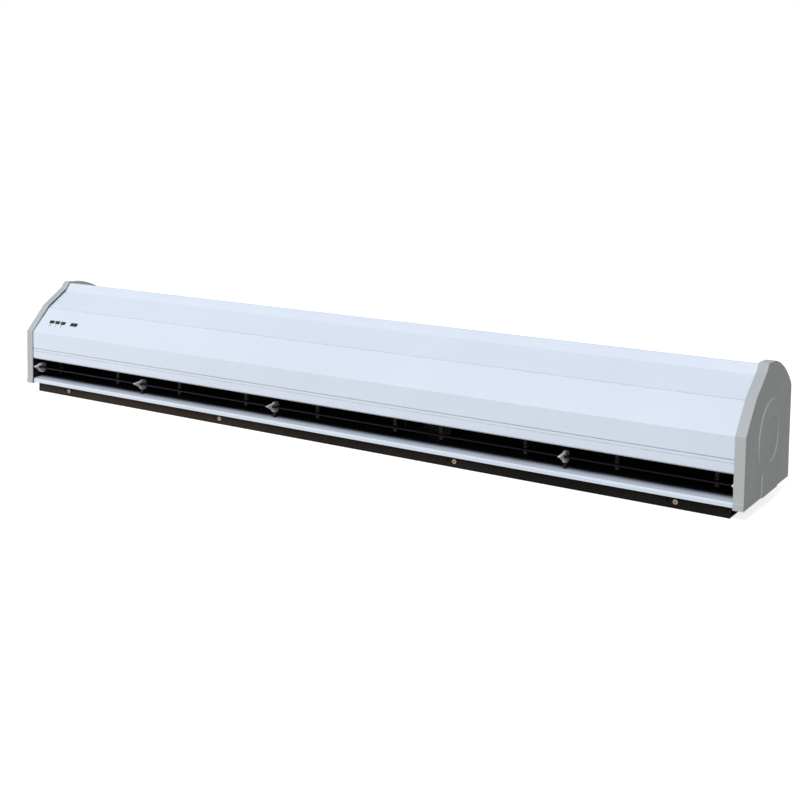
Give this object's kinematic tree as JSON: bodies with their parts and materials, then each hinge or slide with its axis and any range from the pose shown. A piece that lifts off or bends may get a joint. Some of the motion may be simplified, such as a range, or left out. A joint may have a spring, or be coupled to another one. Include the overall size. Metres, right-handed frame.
{
  "type": "air curtain",
  "caption": "Long wall-mounted air curtain: angled sheet cover between moulded end caps, outlet slot with a tilting vane and levers, drum impellers, push buttons and a wall plate.",
  "frame": {"origin": "centre of the box's bottom, on the wall side of the wall plate", "axes": "+X along the unit, to the right as seen from the outlet's side; -Y towards the side the air leaves; +Z away from the wall. The unit lies on its wall plate, as pictured."},
  "size_m": [1.504, 0.228, 0.2165],
  "materials": {
    "cover_paint": "satin white coil coating",
    "cap_plastic": "moulded plastic, fine texture",
    "plate_paint": "dark brown paint",
    "zinc_steel": "zinc plated",
    "screw_brass": "yellow zinc or brass",
    "duct_black": "matt black",
    "duct_steel": "matt black",
    "post_steel": "dull primer",
    "vane_black": "black anodised",
    "lever_white": "moulded, light gloss",
    "rubber_black": "matt",
    "motor_steel": "pressed steel",
    "motor_end": "die cast",
    "bush_brass": "sintered bronze",
    "capacitor_shell": "plain",
    "terminal_plastic": "plain",
    "box_plastic": "plain",
    "board_green": "solder mask",
    "switch_black": "plain",
    "button_black": "gloss"
  },
  "bodies": {
    "housing": {"left_end_cap": "cap_plastic", "right_end_cap": "cap_plastic", "upper_front_panel": "cover_paint", "lower_front_panel": "cover_paint", "outlet_upper_lip": "cover_paint", "outlet_lower_lip": "cover_paint", "base_plate": "cover_paint", "back_panel": "cover_paint", "intake_grille": "cover_paint", "left_side_plate": "duct_steel", "right_side_plate": "duct_steel", "vortex_tongue": "duct_steel", "left_air_guide": "duct_steel", "right_air_guide": "duct_steel", "duct_posts": "post_steel", "wall_plate": "plate_paint", "fixing_angle": "plate_paint", "plate_screws": "screw_brass", "grille_screws": "zinc_steel", "cap_screws": "zinc_steel", "vane_rests": "duct_black", "motor_bracket": "zinc_steel", "motor_clamps": "zinc_steel", "motor_rings": "rubber_black", "motor_housing": "motor_end", "motor_band": "motor_steel", "left_bearing": "bush_brass", "right_bearing": "bush_brass", "left_bearing_seat": "rubber_black", "right_bearing_seat": "rubber_black", "capacitor": "capacitor_shell", "capacitor_clip": "zinc_steel", "terminal_block": "terminal_plastic", "control_box": "box_plastic", "control_board": "board_green", "tact_switches": "switch_black", "receiver_window": "button_black", "cable_grommet": "rubber_black"},
    "rotor": {"motor_shaft": "zinc_steel", "left_hub": "rubber_black", "right_hub": "rubber_black", "left_impeller": "duct_black", "right_impeller": "duct_black", "left_end_shaft": "zinc_steel", "right_end_shaft": "zinc_steel"},
    "vane": {"air_vane": "vane_black", "vane_lever_left": "lever_white", "vane_lever_middle": "lever_white", "vane_lever_right": "lever_white", "vane_holder_left": "lever_white", "vane_holder_right": "lever_white"},
    "push_button_1": {"push_button_1": "button_black"},
    "push_button_2": {"push_button_2": "button_black"},
    "push_button_3": {"push_button_3": "button_black"}
  },
  "joints": [
    {"name": "fan_spin", "type": "hinge", "parent": "housing", "child": "rotor", "pos_m": [0, 0.0085, 0.099], "axis": [1, 0, 0], "continuous": true},
    {"name": "vane_tilt", "type": "hinge", "parent": "housing", "child": "vane", "pos_m": [0, -0.0885, 0.0465], "axis": [1, 0, 0], "range_deg": [-15, 40]},
    {"name": "button_1_press", "type": "slide", "parent": "housing", "child": "push_button_1", "axis": [0, 0.7265, -0.6872], "range_m": [0, 0.0012], "stiffness_N_per_m": 800, "springref_m": -0.001},
    {"name": "button_2_press", "type": "slide", "parent": "housing", "child": "push_button_2", "axis": [0, 0.7265, -0.6872], "range_m": [0, 0.0012], "stiffness_N_per_m": 800, "springref_m": -0.001},
    {"name": "button_3_press", "type": "slide", "parent": "housing", "child": "push_button_3", "axis": [0, 0.7265, -0.6872], "range_m": [0, 0.0012], "stiffness_N_per_m": 800, "springref_m": -0.001}
  ]
}
